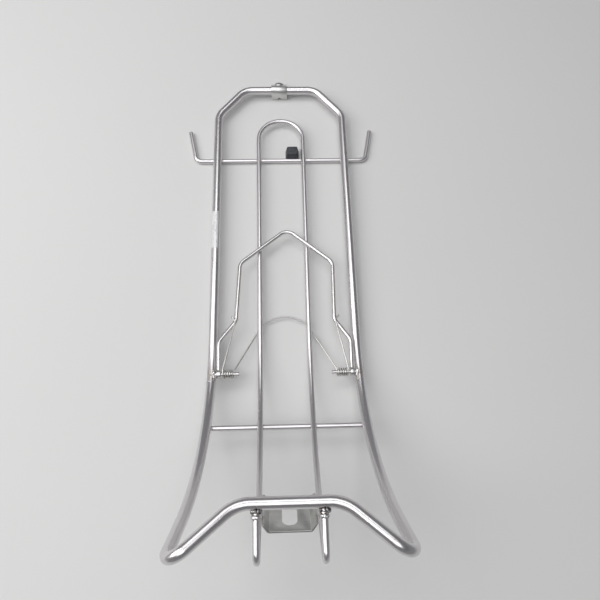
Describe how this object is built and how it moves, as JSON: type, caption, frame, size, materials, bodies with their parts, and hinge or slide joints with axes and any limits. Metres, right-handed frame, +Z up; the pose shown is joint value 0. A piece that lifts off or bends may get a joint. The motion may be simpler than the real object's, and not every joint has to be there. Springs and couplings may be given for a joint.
{
  "type": "bicycle rear rack",
  "caption": "Steel bicycle rear rack: tube frame with a dished front bow, inner loop, side hooks, frame bracket and a sprung clamp.",
  "frame": {"origin": "bottom centre of the rack's box, as it lies on its cross rods with the deck level", "axes": "+X to the rack's right, +Y along the deck towards the rear, +Z up"},
  "size_m": [0.2294, 0.5669, 0.1689],
  "materials": {
    "bright_tube": "bright polished stainless steel",
    "bright_rod": "bright polished stainless steel",
    "weld_metal": "rippled weld metal, pale silver",
    "bracket_plate": "satin sheet steel",
    "pin_steel": "satin drawn steel",
    "clamp_wire": "bright drawn stainless wire",
    "spring_wire": "drawn spring wire",
    "strap_steel": "matt strap steel",
    "screw_steel": "plated, satin",
    "black_rubber": "matt black rubber",
    "label_foil": "pale foil label, blank"
  },
  "bodies": {
    "frame": {"rear_loop": "bright_tube", "front_bow": "bright_tube", "seam_rings": "bright_tube", "inner_loop": "bright_rod", "hook_bar": "bright_rod", "cross_rod": "bright_rod", "hook_bar_welds": "weld_metal", "cross_rod_welds": "weld_metal", "stub_welds": "weld_metal", "mounting_bracket": "bracket_plate", "bracket_welds": "weld_metal", "left_pivot_pin": "pin_steel", "right_pivot_pin": "pin_steel", "left_pin_weld": "weld_metal", "right_pin_weld": "weld_metal", "torsion_spring": "spring_wire", "reflector_clip": "strap_steel", "reflector_screw": "screw_steel", "reflector_washer": "screw_steel", "reflector_nut": "screw_steel", "rubber_buffer": "black_rubber", "rail_label": "label_foil"},
    "clamp": {"spring_clamp": "clamp_wire", "spring_arms": "spring_wire"}
  },
  "joints": [
    {"name": "clamp_hinge", "type": "hinge", "parent": "frame", "child": "clamp", "pos_m": [0, -0.10576, 0.01884], "axis": [1, 0, 0], "range_deg": [0, 95], "stiffness_Nm_per_rad": 1.1, "springref_deg": -45.84, "deforming": ["torsion_spring"]}
  ]
}
